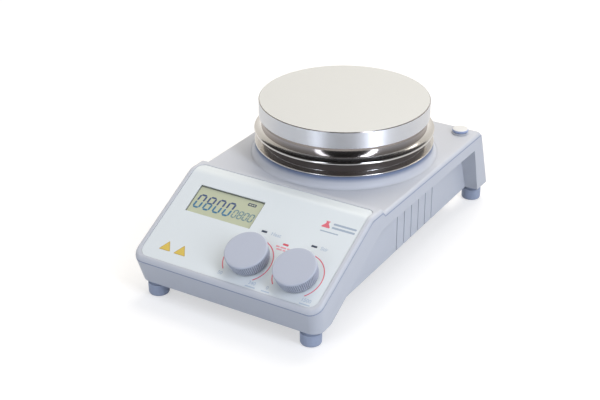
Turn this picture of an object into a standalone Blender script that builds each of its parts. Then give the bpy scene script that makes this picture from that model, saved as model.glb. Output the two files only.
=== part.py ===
"""Hotplate magnetic stirrer with a round heating plate, a sloped control panel and two knobs.

Run with: blender --background --python part.py (Blender 4.5, metres, +Z up).
Origin: middle of the footprint on the bench. +Y points to the back, the panel faces -Y.
"""

import math

import bmesh
import bpy
from mathutils import Matrix

MM = 0.001

# Driving dimensions ------------------------------------------------------------------
PLATE_RADIUS = 67.5 * MM
PLATE_TOP = 115.0 * MM
PLATE_THICKNESS = 13.7 * MM
PLATE_Y = 30.8 * MM                 # plate, shield, motor and rotor share this axis

BODY_HALF_LENGTH = 144.8 * MM
BODY_HALF_WIDTH = 80.3 * MM         # all along the parting line
BODY_BOTTOM = 12.5 * MM
DECK_TOP = 70.3 * MM
RIM_HEIGHT = 3.2 * MM               # visible edge of the top cover above the parting line
PARTING_TOP = DECK_TOP - RIM_HEIGHT
COVER_THICKNESS = 4.5 * MM          # away from the rim, inside the lower housing's walls
PARTING_FRONT = 31.5 * MM
SIDE_DRAFT = 4.0 / 55.7             # inward lean of the walls, per unit of height
FRONT_DRAFT = 5.6 / 19.9
CORNER_DRAFT = 2.4 / 19.0           # lean of the side walls below the parting line's front end
REAR_DRAFT = 26.8 / 57.8
FRONT_CORNER = 8.5 * MM
REAR_CORNER = 1.5 * MM
COVER_REAR_CORNER = 4.0 * MM
COVER_ROUNDING = 2.6 * MM           # outer edge of the cover's top
WALL = 3.0 * MM
GAP = 0.3 * MM                      # clearance between pieces that meet

PANEL_ANGLE = math.radians(27.16)
PANEL_FOOT_Y = -141.53 * MM         # lower edge of the overlay
PANEL_FOOT_Z = 35.7 * MM
PANEL_LENGTH = 83.9 * MM            # along the slope, up to the bend
PANEL_BEND = 12.0 * MM
PANEL_LEVEL_END = -52.0 * MM        # back of the raised panel frame
OVERLAY_BACK = -57.0 * MM
OVERLAY_HALF_WIDTH = 76.1 * MM
OVERLAY_THICKNESS = 0.8 * MM
FRAME_PROUD = 0.4 * MM              # panel frame above the overlay

SIDE_WALL_X = 66.9 * MM             # recessed part of the side walls, beside the origin
RECESS_TAPER = math.radians(0.8)    # the recessed walls close in towards the back
SIDE_BAND_BOTTOM = 56.6 * MM
RECESS_FRONT = (-121.9 * MM, -51.2 * MM)   # front edge of the recess, at its bottom and top
RECESS_BACK = (124.1 * MM, 107.1 * MM)     # front face of the rear leg, bottom and top
REAR_PANEL_Y = 111.0 * MM
REAR_PANEL_HALF_WIDTH = 60.0 * MM
CAVITY_BACK = 116.0 * MM            # hollow above the rear shelf
GROOVE_COUNT = 6
GROOVE_PITCH = 12.25 * MM
GROOVE_FIRST_Y = -2.6 * MM

FOOT_X = 66.9 * MM
FOOT_FRONT_Y = -130.7 * MM
FOOT_REAR_Y = 134.1 * MM
FOOT_RADIUS = 8.2 * MM
FOOT_HEIGHT = BODY_BOTTOM - GAP

DISPLAY_X = (-62.6 * MM, -4.5 * MM)
DISPLAY_UP = (46.7 * MM, 72.0 * MM)        # distances up the slope
KNOBS = {"heat": (10.1 * MM, 22.6 * MM), "stir": (51.7 * MM, 21.2 * MM)}
KNOB_RADIUS = 16.4 * MM             # at the top, the side narrows towards the panel
KNOB_BASE_RADIUS = 15.3 * MM
KNOB_HEIGHT = 12.0 * MM
LEDS = {"heat_led": (7.9 * MM, 48.1 * MM), "stir_led": (50.4 * MM, 47.9 * MM),
        "hot_surface_led": (29.4 * MM, 42.5 * MM)}
LED_SIZE = (5.6 * MM, 2.0 * MM)

SHIELD_NECK = 62.5 * MM
SHIELD_RIM = 71.3 * MM
SHIELD_WALL = 64.7 * MM
SHIELD_INNER = 61.2 * MM
SHIELD_BOTTOM = 79.9 * MM
BOSS_RADIUS = 71.0 * MM
DECK_HOLE = 46.0 * MM

SOCKET_X, SOCKET_Y = 66.0 * MM, 107.0 * MM
INLET_X, SWITCH_X, PROBE_X = -34.0 * MM, 2.0 * MM, 34.0 * MM
REAR_FITTING_Z = 36.0 * MM
ROCKER_SWING = 16.0                 # degrees between on and off

COLOURS = {
    "housing": ((0.55, 0.59, 0.68), 0.45, 0.0),
    "overlay": ((0.80, 0.83, 0.86), 0.35, 0.0),
    "knob": ((0.50, 0.53, 0.60), 0.5, 0.0),
    "foot": ((0.22, 0.28, 0.36), 0.8, 0.0),
    "plate": ((0.80, 0.80, 0.78), 0.3, 0.6),
    "steel": ((0.62, 0.62, 0.62), 0.2, 1.0),
    "black": ((0.03, 0.03, 0.03), 0.5, 0.0),
    "board": ((0.03, 0.20, 0.08), 0.6, 0.0),
    "display": ((0.42, 0.44, 0.32), 0.2, 0.0),
    "white": ((0.85, 0.85, 0.82), 0.6, 0.0),
    "brass": ((0.75, 0.58, 0.25), 0.3, 1.0),
    "magnet": ((0.35, 0.35, 0.37), 0.35, 1.0),
    "lamp": ((0.08, 0.09, 0.10), 0.2, 0.0),
    "insulation": ((0.75, 0.70, 0.60), 0.9, 0.0),
}


# Scene, materials and shape helpers --------------------------------------------------
def clear_scene():
    for obj in list(bpy.data.objects):
        bpy.data.objects.remove(obj, do_unlink=True)


def new_collection(name):
    collection = bpy.data.collections.new(name)
    bpy.context.scene.collection.children.link(collection)
    return collection


def finish(obj, slot):
    """Give a sub-part a material of its own and shade its round faces smooth."""
    colour, roughness, metallic = COLOURS[slot]
    material = bpy.data.materials.new(obj.name)
    material.use_nodes = True
    shader = material.node_tree.nodes["Principled BSDF"]
    shader.inputs["Base Color"].default_value = (*colour, 1.0)
    shader.inputs["Roughness"].default_value = roughness
    shader.inputs["Metallic"].default_value = metallic
    obj.data.materials.clear()
    obj.data.materials.append(material)
    obj.data.shade_smooth()
    obj.data.set_sharp_from_angle(angle=math.radians(35))
    return obj


def place(name, mesh, location=(0, 0, 0), parent=None, cutter=False):
    obj = bpy.data.objects.new(name, mesh)
    (CUTTERS if cutter else PARTS).objects.link(obj)
    obj.location = location
    obj.parent = parent
    if cutter:
        obj.hide_render = True
        obj.display_type = "WIRE"
    return obj


def box_mesh(name, size, bevel=0.0, segments=2):
    shape = bmesh.new()
    bmesh.ops.create_cube(shape, size=1.0)
    bmesh.ops.scale(shape, vec=size, verts=shape.verts)
    if bevel:
        bmesh.ops.bevel(shape, geom=shape.edges[:], offset=bevel, segments=segments,
                        affect="EDGES", profile=0.5)
    mesh = bpy.data.meshes.new(name)
    shape.to_mesh(mesh)
    shape.free()
    return mesh


def cylinder_mesh(name, radius, height, segments=24, top_radius=None):
    shape = bmesh.new()
    bmesh.ops.create_cone(shape, cap_ends=True, segments=segments, radius1=radius,
                          radius2=radius if top_radius is None else top_radius,
                          depth=height)
    mesh = bpy.data.meshes.new(name)
    shape.to_mesh(mesh)
    shape.free()
    return mesh


def turned(name, profile, location=(0, 0, 0), parent=None, steps=32, ring=False,
           cutter=False):
    """Turn (radius, z) points about Z. A ring profile is closed, others end on the axis."""
    edges = [(i, i + 1) for i in range(len(profile) - 1)]
    if ring:
        edges.append((len(profile) - 1, 0))
    mesh = bpy.data.meshes.new(name)
    mesh.from_pydata([(r, 0.0, z) for r, z in profile], edges, [])
    obj = place(name, mesh, location, parent, cutter)
    screw = obj.modifiers.new("turn", "SCREW")
    screw.axis = "Z"
    screw.steps = screw.render_steps = steps
    screw.use_merge_vertices = True
    screw.merge_threshold = 0.00001
    screw.use_smooth_shade = True
    return obj


# Turns local X, Y, Z of a drawn outline into the world's Y, Z, X.
SIDE_VIEW = Matrix(((0, 0, 1), (1, 0, 0), (0, 1, 0))).to_4x4()
# Turns local X, Y, Z of a drawn outline into the world's X, Z, -Y.
FRONT_VIEW = Matrix(((1, 0, 0), (0, 0, -1), (0, 1, 0))).to_4x4()


def outline_mesh(name, points, thickness, view=None, shift=(0, 0, 0)):
    """A flat outline with a thickness, centred on its plane, as a welded mesh."""
    curve = bpy.data.curves.new(name, "CURVE")
    curve.dimensions = "2D"
    curve.fill_mode = "BOTH"
    curve.extrude = thickness / 2
    spline = curve.splines.new("POLY")
    spline.points.add(len(points) - 1)
    for point, (u, v) in zip(spline.points, points):
        point.co = (u, v, 0.0, 1.0)
    spline.use_cyclic_u = True
    drawn = bpy.data.objects.new(name, curve)
    bpy.context.scene.collection.objects.link(drawn)
    graph = bpy.context.evaluated_depsgraph_get()
    mesh = bpy.data.meshes.new_from_object(drawn.evaluated_get(graph))
    bpy.data.objects.remove(drawn)
    bpy.data.curves.remove(curve)
    shape = bmesh.new()
    shape.from_mesh(mesh)
    bmesh.ops.remove_doubles(shape, verts=shape.verts, dist=0.00001)
    bmesh.ops.dissolve_limit(shape, angle_limit=0.001, verts=shape.verts,
                             edges=shape.edges)
    bmesh.ops.recalc_face_normals(shape, faces=shape.faces)
    shape.to_mesh(mesh)
    shape.free()
    mesh.name = name
    mesh.transform(Matrix.Translation(shift) @ (view or Matrix.Identity(4)))
    return mesh


def loft_mesh(name, loops):
    """Skin between loops with equal point counts, closed at both ends."""
    shape = bmesh.new()
    rings = [[shape.verts.new(point) for point in loop] for loop in loops]
    count = len(rings[0])
    for low, high in zip(rings, rings[1:]):
        for i in range(count):
            j = (i + 1) % count
            shape.faces.new((low[i], low[j], high[j], high[i]))
    shape.faces.new(rings[0][::-1])
    shape.faces.new(rings[-1])
    mesh = bpy.data.meshes.new(name)
    shape.to_mesh(mesh)
    shape.free()
    return mesh


def combine(target, other, operation):
    """Boolean with the exact solver; the other object stays as a modifier input."""
    modifier = target.modifiers.new(other.name, "BOOLEAN")
    modifier.operation = operation
    modifier.solver = "EXACT"
    modifier.object = other
    return target


def cut(target, *cutters):
    for cutter in cutters:
        combine(target, cutter, "DIFFERENCE")
    return target


def arc(centre, radius, start, end, count):
    """Points on a circle from one angle to another, in degrees."""
    points = []
    for i in range(count + 1):
        angle = math.radians(start + (end - start) * i / count)
        points.append((centre[0] + radius * math.cos(angle),
                       centre[1] + radius * math.sin(angle)))
    return points


def rounded_rectangle(half_x, front, back, front_radius, back_radius, count=5):
    """Plan outline, counter-clockwise, with its own radius at the front and the back."""
    return (corner(half_x, front, front_radius, -90, count)
            + corner(half_x, back, back_radius, 0, count)
            + corner(-half_x, back, back_radius, 90, count)
            + corner(-half_x, front, front_radius, 180, count))


def corner(x, y, radius, start, count):
    """Quarter circle that rounds the plan corner at x, y."""
    turn = {-90: (-1, 1), 0: (-1, -1), 90: (1, -1), 180: (1, 1)}[start]
    centre = (x + turn[0] * radius, y + turn[1] * radius)
    return arc(centre, radius, start, start + 90, count)


# Body outlines ------------------------------------------------------------------------
def envelope_loop(z, inset, rear_corner):
    """Plan of the outer walls at one height, moved inward by inset.

    The walls lean inward from the parting line, so under the slope they flare to the front.
    """
    deck_x = BODY_HALF_WIDTH - SIDE_DRAFT * (PARTING_TOP - z) - inset
    lean = CORNER_DRAFT if z < PARTING_FRONT else SIDE_DRAFT
    front_x = BODY_HALF_WIDTH - lean * (PARTING_FRONT - z) - inset
    bend_y = PANEL_FOOT_Y + PANEL_LENGTH * math.cos(PANEL_ANGLE)
    front = -BODY_HALF_LENGTH + FRONT_DRAFT * max(PARTING_FRONT - z, 0.0) + inset
    back = BODY_HALF_LENGTH - REAR_DRAFT * (z - BODY_BOTTOM) - inset
    front_radius = max(FRONT_CORNER - inset, 1 * MM)
    back_radius = max(rear_corner - inset, 1 * MM)
    plan = corner(front_x, front, front_radius, -90, 6)
    plan += [(deck_x, bend_y)] + corner(deck_x, back, back_radius, 0, 3)
    plan += corner(-deck_x, back, back_radius, 90, 3) + [(-deck_x, bend_y)]
    plan += corner(-front_x, front, front_radius, 180, 6)
    return [(x, y, z) for x, y in plan]


def envelope_mesh(name, inset=0.0, rear_corner=REAR_CORNER):
    heights = (10 * MM, PARTING_FRONT, 80 * MM)
    return loft_mesh(name, [envelope_loop(z, inset, rear_corner) for z in heights])


def panel_line(drop):
    """Side view of the cover's top, front to back, lowered by drop all along."""
    slope = math.tan(PANEL_ANGLE)
    start_y = -BODY_HALF_LENGTH - 8 * MM
    start_z = PANEL_FOOT_Z + (start_y - PANEL_FOOT_Y) * slope + FRAME_PROUD - drop
    level = PANEL_FOOT_Z + PANEL_LENGTH * math.sin(PANEL_ANGLE) + FRAME_PROUD - drop
    bend_y = start_y + (level - start_z) / slope
    tangent = PANEL_BEND * math.tan(PANEL_ANGLE / 2)
    bend = arc((bend_y + tangent, level - PANEL_BEND), PANEL_BEND,
               90 + math.degrees(PANEL_ANGLE), 90, 4)
    deck = DECK_TOP - drop
    return [(start_y, start_z)] + bend + [
        (PANEL_LEVEL_END, level), (PANEL_LEVEL_END + (level - deck), deck),
        (BODY_HALF_LENGTH, deck)]


def between(upper, lower):
    """Closed side view between two front-to-back lines."""
    return upper + lower[::-1]


def side_prism(name, outline, half_width, centre_x=0.0):
    mesh = outline_mesh(name, outline, 2 * half_width, SIDE_VIEW, (centre_x, 0, 0))
    return place(name, mesh, cutter=True)


# Housing ------------------------------------------------------------------------------
def make_lower_housing():
    housing = place("lower_housing", envelope_mesh("lower_housing"))
    top_line = panel_line(RIM_HEIGHT + GAP / 2)
    floor_line = [(-BODY_HALF_LENGTH - 8 * MM, BODY_BOTTOM), (BODY_HALF_LENGTH, BODY_BOTTOM)]
    body = side_prism("housing_side_view", between(top_line, floor_line), 100 * MM)
    combine(housing, body, "INTERSECT")
    below = BODY_BOTTOM - 2 * MM
    recess = [(RECESS_FRONT[0] - 3.2 * MM, below), (RECESS_BACK[0] + 0.8 * MM, below),
              (RECESS_BACK[1], SIDE_BAND_BOTTOM), (RECESS_FRONT[1], SIDE_BAND_BOTTOM)]
    depth = 30 * MM
    for side, name in ((1, "right"), (-1, "left")):
        prism = side_prism("side_recess_" + name, recess, depth / 2,
                           side * (SIDE_WALL_X + depth / 2))
        prism.rotation_euler.z = side * RECESS_TAPER
        cut(housing, prism)
        for i in range(GROOVE_COUNT):
            groove = box_mesh("groove", (2.4 * MM, 1.3 * MM, 50 * MM))
            y = GROOVE_FIRST_Y + i * GROOVE_PITCH
            where = (side * (SIDE_WALL_X - y * RECESS_TAPER), y, SIDE_BAND_BOTTOM - 24 * MM)
            cut(housing, place("groove_%s_%d" % (name, i), groove, where, cutter=True))
    rear = box_mesh("rear_recess", (2 * REAR_PANEL_HALF_WIDTH, 60 * MM, 60 * MM))
    cut(housing, place("rear_recess", rear, (0, REAR_PANEL_Y + 30 * MM,
                                             SIDE_BAND_BOTTOM - 30 * MM), cutter=True))
    cut_housing_cavity(housing)
    cut_housing_floor(housing)
    cut_rear_openings(housing)
    return finish(housing, "housing")


def cut_housing_cavity(housing):
    """Wide hollow behind the band and the front wall, narrow hollow between the recesses."""
    floor = BODY_BOTTOM + WALL
    shelf = SIDE_BAND_BOTTOM + WALL
    wide_outline = [(-BODY_HALF_LENGTH, floor), (RECESS_FRONT[0], floor),
                    (RECESS_FRONT[1] - 1 * MM, shelf), (CAVITY_BACK, shelf),
                    (CAVITY_BACK, 78 * MM), (-BODY_HALF_LENGTH, 78 * MM)]
    wide = place("wide_cavity", envelope_mesh("wide_cavity", WALL), cutter=True)
    combine(wide, side_prism("wide_cavity_side_view", wide_outline, 100 * MM), "INTERSECT")
    length = REAR_PANEL_Y - WALL - RECESS_FRONT[0]
    narrow = box_mesh("narrow_cavity", (2 * (SIDE_WALL_X - WALL - 2 * MM), length, 60 * MM))
    where = (0, RECESS_FRONT[0] + length / 2, floor + 30 * MM)
    cut(housing, wide, place("narrow_cavity", narrow, where, cutter=True))


def cut_housing_floor(housing):
    opening = box_mesh("base_opening", (110 * MM, 205 * MM, 20 * MM))
    cut(housing, place("base_opening", opening, (0, -5 * MM, BODY_BOTTOM), cutter=True))
    for x, y, name in foot_places():
        hole = cylinder_mesh("foot_hole", 2.3 * MM, 24 * MM, 12)
        cut(housing, place("foot_hole_" + name, hole, (x, y, BODY_BOTTOM), cutter=True))
    for i, (x, y) in enumerate(base_screw_places()):
        hole = cylinder_mesh("base_screw_hole", 1.6 * MM, 12 * MM, 12)
        cut(housing, place("base_screw_hole_%d" % i, hole, (x, y, BODY_BOTTOM), cutter=True))


def cut_rear_openings(housing):
    inlet = box_mesh("inlet_cutout", (28.6 * MM, 12 * MM, 32.6 * MM))
    switch = box_mesh("switch_cutout", (14.0 * MM, 12 * MM, 20.0 * MM))
    probe = cylinder_mesh("probe_cutout", 7.3 * MM, 12 * MM, 24)
    probe.transform(Matrix.Rotation(math.radians(90), 4, "X"))
    for name, mesh, x in (("inlet_cutout", inlet, INLET_X), ("switch_cutout", switch, SWITCH_X),
                          ("probe_cutout", probe, PROBE_X)):
        cut(housing, place(name, mesh, (x, REAR_PANEL_Y, REAR_FITTING_Z), cutter=True))


def make_top_cover():
    cover = place("top_cover", envelope_mesh("top_cover", 0.0, COVER_REAR_CORNER))
    block = between(panel_line(0.0), panel_line(RIM_HEIGHT + 20 * MM))
    combine(cover, side_prism("cover_block_side_view", block, 100 * MM), "INTERSECT")
    rounding = cover.modifiers.new("rounding", "BEVEL")
    rounding.limit_method = "ANGLE"
    rounding.angle_limit = math.radians(60)
    rounding.width = COVER_ROUNDING
    rounding.segments = 4
    rounding.use_clamp_overlap = False
    rim = between(panel_line(-10 * MM), panel_line(RIM_HEIGHT - GAP / 2))
    combine(cover, side_prism("cover_rim_side_view", rim, 100 * MM), "INTERSECT")
    lip = place("cover_lip", envelope_mesh("cover_lip", WALL + GAP), cutter=True)
    lip_outline = between(panel_line(0.8 * MM), panel_line(COVER_THICKNESS))
    combine(lip, side_prism("cover_lip_side_view", lip_outline, 100 * MM), "INTERSECT")
    trim = box_mesh("lip_trim", (200 * MM, 40 * MM, 100 * MM))
    cut(lip, place("lip_trim", trim, (0, CAVITY_BACK - GAP + 20 * MM, 60 * MM), cutter=True))
    combine(cover, lip, "UNION")
    fillet = arc((BOSS_RADIUS + 3.8 * MM, DECK_TOP + 3.8 * MM), 3.8 * MM, 180, 262, 3)
    boss_top = SHIELD_BOTTOM - GAP
    boss = [(60.6 * MM, boss_top), (BOSS_RADIUS - 0.6 * MM, boss_top),
            (BOSS_RADIUS, boss_top - 0.6 * MM)] + fillet + [
            (BOSS_RADIUS + 3.3 * MM, DECK_TOP - 1 * MM), (60.6 * MM, DECK_TOP - 1 * MM)]
    combine(cover, turned("deck_boss", boss, (0, PLATE_Y, 0), steps=56, ring=True,
                          cutter=True), "UNION")
    hole = cylinder_mesh("deck_hole", DECK_HOLE, 20 * MM, 40)
    cut(cover, place("deck_hole", hole, (0, PLATE_Y, DECK_TOP), cutter=True))
    cut(cover, make_overlay_shape("overlay_pocket", GAP, cutter=True))
    size = (DISPLAY_X[1] - DISPLAY_X[0] + GAP, DISPLAY_UP[1] - DISPLAY_UP[0] + GAP, 20 * MM)
    display = box_mesh("display_opening", size)
    cut(cover, place("display_opening", display, display_centre(0), PANEL, cutter=True))
    for name, (x, up) in KNOBS.items():
        hole = cylinder_mesh("knob_hole", 5.2 * MM, 20 * MM, 24)
        cut(cover, place("cover_%s_hole" % name, hole, (x, up, 0), PANEL, cutter=True))
    for name, (x, up) in LEDS.items():
        hole = box_mesh("led_hole", (LED_SIZE[0] + 2 * GAP, LED_SIZE[1] + 2 * GAP, 20 * MM))
        cut(cover, place("cover_%s_hole" % name, hole, (x, up, 0), PANEL, cutter=True))
    socket = cylinder_mesh("socket_hole", 6.6 * MM, 20 * MM, 24)
    cut(cover, place("socket_hole", socket, (SOCKET_X, SOCKET_Y, DECK_TOP), cutter=True))
    return finish(cover, "housing")


def make_overlay_shape(name, clearance, cutter=False):
    """Thin bent sheet on the panel; with a clearance it is the pocket that takes it."""
    half_width = OVERLAY_HALF_WIDTH + clearance
    front = PANEL_FOOT_Y - clearance
    back = OVERLAY_BACK + clearance
    plan = rounded_rectangle(half_width, front, back, 7.0 * MM + clearance, 5.0 * MM, 4)
    sheet = place(name, outline_mesh(name, plan, 100 * MM, shift=(0, 0, 50 * MM)),
                  cutter=cutter)
    top = panel_line(FRAME_PROUD - (5 * MM if cutter else 0))
    bottom = panel_line(FRAME_PROUD + OVERLAY_THICKNESS + clearance)
    view = side_prism(name + "_side_view", between(top, bottom), 100 * MM)
    return combine(sheet, view, "INTERSECT")


def make_control_overlay():
    overlay = make_overlay_shape("control_overlay", 0.0)
    window = box_mesh("window", (DISPLAY_X[1] - DISPLAY_X[0], DISPLAY_UP[1] - DISPLAY_UP[0],
                                 10 * MM))
    cut(overlay, place("overlay_window", window, display_centre(0), PANEL, cutter=True))
    for name, (x, up) in KNOBS.items():
        hole = cylinder_mesh("knob_hole", 5.2 * MM, 10 * MM, 24)
        cut(overlay, place("overlay_%s_hole" % name, hole, (x, up, 0), PANEL, cutter=True))
    for name, (x, up) in LEDS.items():
        hole = box_mesh("led_hole", (LED_SIZE[0] + GAP, LED_SIZE[1] + GAP, 10 * MM))
        cut(overlay, place("overlay_%s_hole" % name, hole, (x, up, 0), PANEL, cutter=True))
    return finish(overlay, "overlay")


def display_centre(height):
    return (sum(DISPLAY_X) / 2, sum(DISPLAY_UP) / 2, height)


# Feet and base ------------------------------------------------------------------------
def foot_places():
    return [(side * FOOT_X, y, "%s_%s" % (end, "right" if side > 0 else "left"))
            for end, y in (("front", FOOT_FRONT_Y), ("rear", FOOT_REAR_Y))
            for side in (-1, 1)]


def base_screw_places():
    return [(x, y) for x in (-58.0 * MM, 58.0 * MM) for y in (-99.0 * MM, 89.0 * MM)]


def make_feet():
    seat = 5.0 * MM
    profile = [(FOOT_RADIUS, FOOT_HEIGHT), (FOOT_RADIUS, 2.2 * MM), (FOOT_RADIUS - 1.2 * MM, 0.0),
               (4.4 * MM, 0.0), (4.4 * MM, seat), (2.4 * MM, seat), (2.4 * MM, FOOT_HEIGHT)]
    screw = [(0, 20 * MM), (2 * MM, 20 * MM), (2 * MM, seat - GAP), (3.9 * MM, seat - GAP),
             (3.6 * MM, 2 * MM), (0, 2 * MM)]
    for x, y, name in foot_places():
        finish(turned("foot_" + name, profile, (x, y, 0), ring=True, steps=24), "foot")
        finish(turned("foot_screw_" + name, screw, (x, y, 0), steps=12), "steel")


def make_base_plate():
    plan = rounded_rectangle(60 * MM, -109 * MM, 103 * MM, 4 * MM, 4 * MM, 3)
    thickness = 1.5 * MM
    z = BODY_BOTTOM - GAP - thickness / 2
    plate = place("base_plate", outline_mesh("base_plate", plan, thickness), (0, 0, z))
    top = BODY_BOTTOM + 5 * MM
    seat = BODY_BOTTOM - GAP - thickness
    screw = [(0, top), (1.3 * MM, top), (1.3 * MM, seat - GAP), (2.8 * MM, seat - GAP),
             (2.2 * MM, seat - 1.6 * MM), (0, seat - 1.6 * MM)]
    for i, (x, y) in enumerate(base_screw_places()):
        hole = cylinder_mesh("plate_hole", 1.7 * MM, 6 * MM, 12)
        cut(plate, place("plate_hole_%d" % i, hole, (x, y, z), cutter=True))
        finish(turned("base_screw_%d" % (i + 1), screw, (x, y, 0), steps=12), "steel")
    return finish(plate, "steel")


# Heating head -------------------------------------------------------------------------
def make_heating_plate():
    bottom = PLATE_TOP - PLATE_THICKNESS
    profile = [(0, PLATE_TOP), (PLATE_RADIUS - 0.8 * MM, PLATE_TOP),
               (PLATE_RADIUS, PLATE_TOP - 0.6 * MM), (PLATE_RADIUS, bottom + 0.6 * MM),
               (PLATE_RADIUS - 0.6 * MM, bottom), (0, bottom)]
    return finish(turned("heating_plate", profile, (0, PLATE_Y, 0), steps=64), "plate")


def make_heat_shield():
    """Spun spool: neck, concave flare to the upper flange, recessed wall, lower flange."""
    flare = [(SHIELD_RIM - 0.5 * MM - 8.3 * MM * math.cos(t), 99 * MM - 7.8 * MM * math.sin(t))
             for t in (math.radians(22.5 * i) for i in range(5))]
    neck_top = PLATE_TOP - PLATE_THICKNESS - 0.4 * MM
    profile = [(SHIELD_INNER, neck_top), (SHIELD_NECK, neck_top)] + flare + [
        (SHIELD_RIM, 90.8 * MM), (SHIELD_RIM, 90.1 * MM), (SHIELD_RIM - 0.6 * MM, 89.8 * MM),
        (SHIELD_WALL + 0.8 * MM, 89.5 * MM), (SHIELD_WALL, 88.8 * MM),
        (SHIELD_WALL, 82.0 * MM), (SHIELD_WALL + 0.8 * MM, 81.3 * MM),
        (SHIELD_RIM - 0.7 * MM, 81.0 * MM), (SHIELD_RIM - 0.2 * MM, 80.7 * MM),
        (SHIELD_RIM - 0.2 * MM, 80.2 * MM), (SHIELD_RIM - 0.6 * MM, SHIELD_BOTTOM),
        (SHIELD_INNER, SHIELD_BOTTOM)]
    return finish(turned("heat_shield", profile, (0, PLATE_Y, 0), steps=56, ring=True),
                  "steel")


def ring(name, inner, outer, low, high, slot, steps=36):
    profile = [(outer, high), (outer, low), (inner, low), (inner, high)]
    return finish(turned(name, profile, (0, PLATE_Y, 0), steps=steps, ring=True), slot)


def make_heater():
    under = PLATE_TOP - PLATE_THICKNESS - GAP
    ring("heating_element", 18 * MM, 50 * MM, 97.5 * MM, under, "steel")
    ring("element_clamp", 8 * MM, 51.5 * MM, 96.0 * MM, 97.2 * MM, "steel")
    insulation = ring("insulation_disc", 8 * MM, 60.8 * MM, 90.0 * MM, 95.7 * MM, "insulation")
    sensor = [(0, under), (2.5 * MM, under), (2.5 * MM, 92 * MM), (3.5 * MM, 91.5 * MM),
              (3.5 * MM, 86 * MM), (0, 86 * MM)]
    finish(turned("temperature_sensor", sensor, (0, PLATE_Y, 0), steps=16), "steel")
    post = [(0, under), (3 * MM, under), (3 * MM, DECK_TOP + 4 * MM),
            (4 * MM, DECK_TOP + 3 * MM), (4 * MM, DECK_TOP + GAP), (0, DECK_TOP + GAP)]
    for i in range(4):
        angle = math.radians(45 + 90 * i)
        where = (55.5 * MM * math.cos(angle), PLATE_Y + 55.5 * MM * math.sin(angle), 0)
        finish(turned("plate_post_%d" % (i + 1), post, where, steps=16), "steel")
        hole = cylinder_mesh("post_hole", 3.4 * MM, 20 * MM, 16)
        cut(insulation, place("post_hole_%d" % i, hole, (where[0], where[1], 93 * MM),
                              cutter=True))


# Stirring drive -----------------------------------------------------------------------
def make_drive():
    motor = [(0, 29.5 * MM), (4.4 * MM, 29.5 * MM), (4.4 * MM, 57.6 * MM),
             (8 * MM, 57.6 * MM), (8 * MM, 54 * MM), (28 * MM, 54 * MM), (29 * MM, 53 * MM),
             (29 * MM, 25 * MM), (28 * MM, 24 * MM), (0, 24 * MM)]
    finish(turned("stir_motor", motor, (0, PLATE_Y, 0), steps=32), "black")
    deck_under = DECK_TOP - COVER_THICKNESS - GAP
    sheet = 2 * MM
    seat = 54.3 * MM
    half = 45 * MM
    tab = 57 * MM
    hat = [(-tab, deck_under), (-tab, deck_under - sheet), (-half, deck_under - sheet),
           (-half, seat), (half, seat), (half, deck_under - sheet), (tab, deck_under - sheet),
           (tab, deck_under), (half - sheet, deck_under), (half - sheet, seat + sheet),
           (sheet - half, seat + sheet), (sheet - half, deck_under)]
    bracket = place("motor_bracket", outline_mesh("motor_bracket", hat, 50 * MM, FRONT_VIEW),
                    (0, PLATE_Y, 0))
    hole = cylinder_mesh("bracket_hole", 12 * MM, 12 * MM, 24)
    cut(bracket, place("bracket_hole", hole, (0, PLATE_Y, seat), cutter=True))
    finish(bracket, "steel")


def make_rotor():
    shaft = [(0, 75 * MM), (3.6 * MM, 75 * MM), (4 * MM, 74.6 * MM), (4 * MM, 30 * MM),
             (0, 30 * MM)]
    finish(turned("motor_shaft", shaft, (0, PLATE_Y, 0), steps=20), "steel")
    carrier = [(40 * MM, 75.7 * MM), (40 * MM, 72 * MM), (10 * MM, 71 * MM), (10 * MM, 61 * MM),
               (4.4 * MM, 61 * MM), (4.4 * MM, 75.7 * MM)]
    finish(turned("magnet_carrier", carrier, (0, PLATE_Y, 0), steps=32, ring=True), "steel")
    for side, name in ((-1, "drive_magnet_left"), (1, "drive_magnet_right")):
        magnet = box_mesh(name, (18 * MM, 28 * MM, 8 * MM), 0.8 * MM, 1)
        finish(place(name, magnet, (side * 23 * MM, PLATE_Y, 80 * MM)), "magnet")


# Control panel ------------------------------------------------------------------------
BOARD_TOP = -9.3 * MM               # heights measured from the overlay's face


def make_control_board():
    size = (138 * MM, 66 * MM, 1.6 * MM)
    board = place("control_board", box_mesh("control_board", size),
                  (0, 41 * MM, BOARD_TOP - size[2] / 2), PANEL)
    finish(board, "board")
    top = -1.4 * MM
    height = top - BOARD_TOP - GAP
    size = (DISPLAY_X[1] - DISPLAY_X[0] - 2 * GAP, DISPLAY_UP[1] - DISPLAY_UP[0] - 2 * GAP,
            height)
    module = place("display_module", box_mesh("display_module", size),
                   display_centre(top - height / 2), PANEL)
    finish(module, "display")
    for name, (x, up) in LEDS.items():
        top = 0.1 * MM
        height = top - BOARD_TOP - GAP
        lamp = box_mesh(name, (*LED_SIZE, height))
        finish(place(name, lamp, (x, up, top - height / 2), PANEL), "lamp")


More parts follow.
